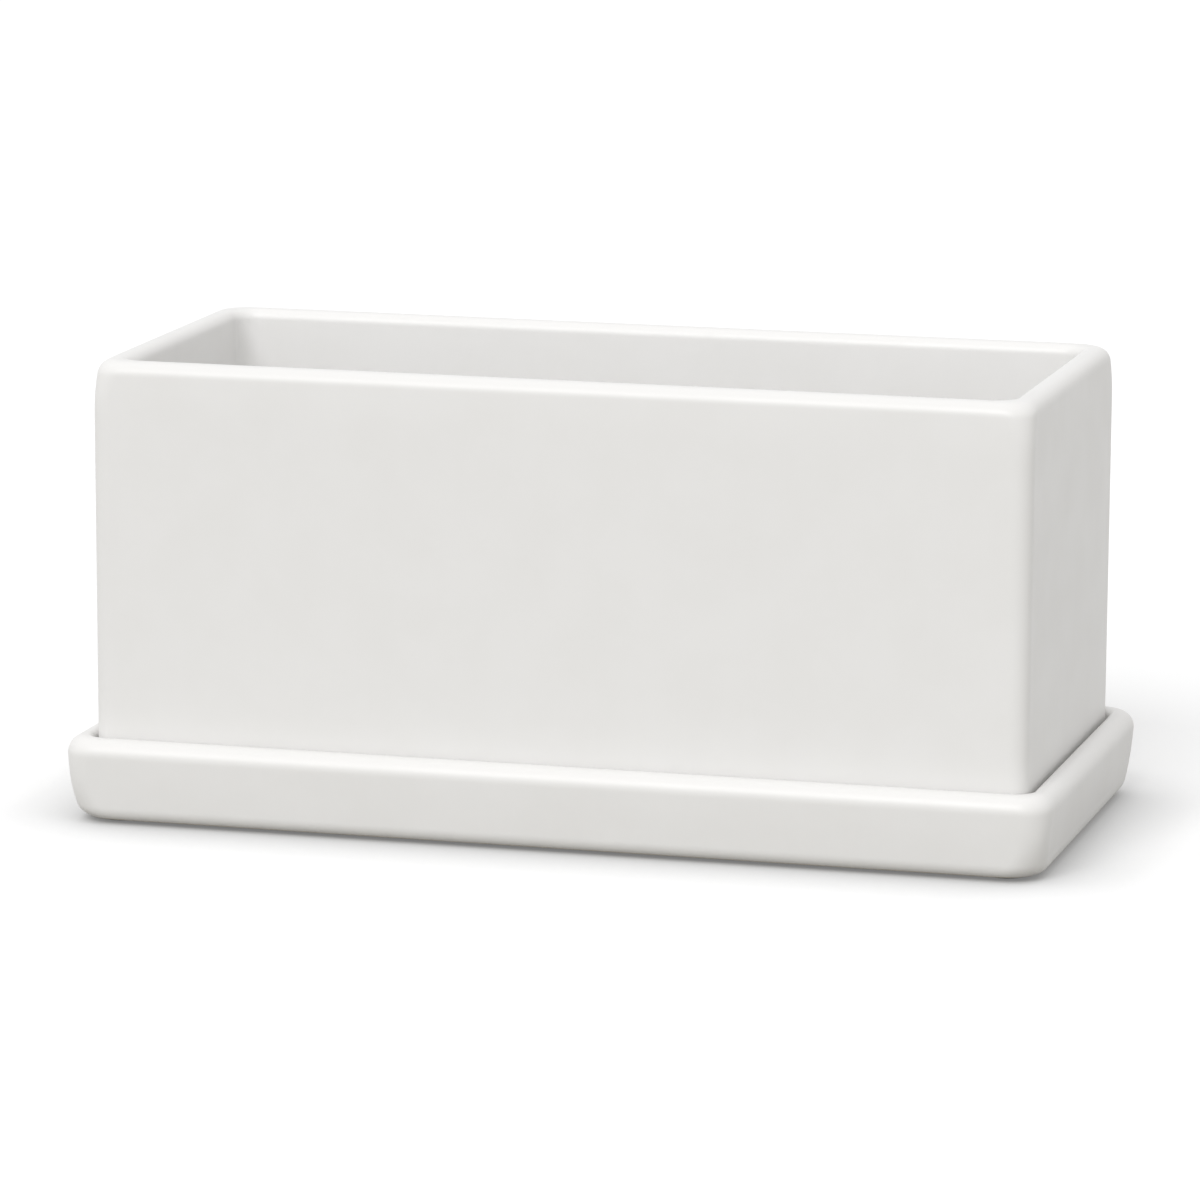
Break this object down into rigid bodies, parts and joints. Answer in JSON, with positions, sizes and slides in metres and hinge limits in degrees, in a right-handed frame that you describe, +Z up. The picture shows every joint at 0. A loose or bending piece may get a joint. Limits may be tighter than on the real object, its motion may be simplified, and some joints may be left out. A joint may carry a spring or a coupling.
{
  "type": "planter",
  "caption": "Long rectangular ceramic herb planter with drain holes and mesh screens, standing in its own flared drip saucer on low pads.",
  "frame": {"origin": "on the surface that the planter stands on, under the middle of the saucer", "axes": "+X along the length to the right, +Y from the front to the back, +Z up"},
  "size_m": [0.3222, 0.1512, 0.149],
  "materials": {
    "pot_glaze": "satin white glaze, unglazed foot ring",
    "saucer_glaze": "satin white glaze, unglazed foot",
    "screen_plastic": "matte moulded polyethylene",
    "pad_foam": "matte foam rubber, self-adhesive"
  },
  "bodies": {
    "saucer": {"saucer": "saucer_glaze", "pad_front_left": "pad_foam", "pad_front_right": "pad_foam", "pad_back_left": "pad_foam", "pad_back_right": "pad_foam"},
    "pot": {"pot": "pot_glaze"},
    "screen_left": {"drain_screen_left": "screen_plastic"},
    "screen_middle": {"drain_screen_middle": "screen_plastic"},
    "screen_right": {"drain_screen_right": "screen_plastic"}
  },
  "joints": [
    {"name": "pot_lift", "type": "slide", "parent": "saucer", "child": "pot", "axis": [0, 0, 1], "range_m": [0, 0.15]},
    {"name": "screen_left_lift", "type": "slide", "parent": "pot", "child": "screen_left", "axis": [0, 0, 1], "range_m": [0, 0.14]},
    {"name": "screen_middle_lift", "type": "slide", "parent": "pot", "child": "screen_middle", "axis": [0, 0, 1], "range_m": [0, 0.14]},
    {"name": "screen_right_lift", "type": "slide", "parent": "pot", "child": "screen_right", "axis": [0, 0, 1], "range_m": [0, 0.14]}
  ]
}
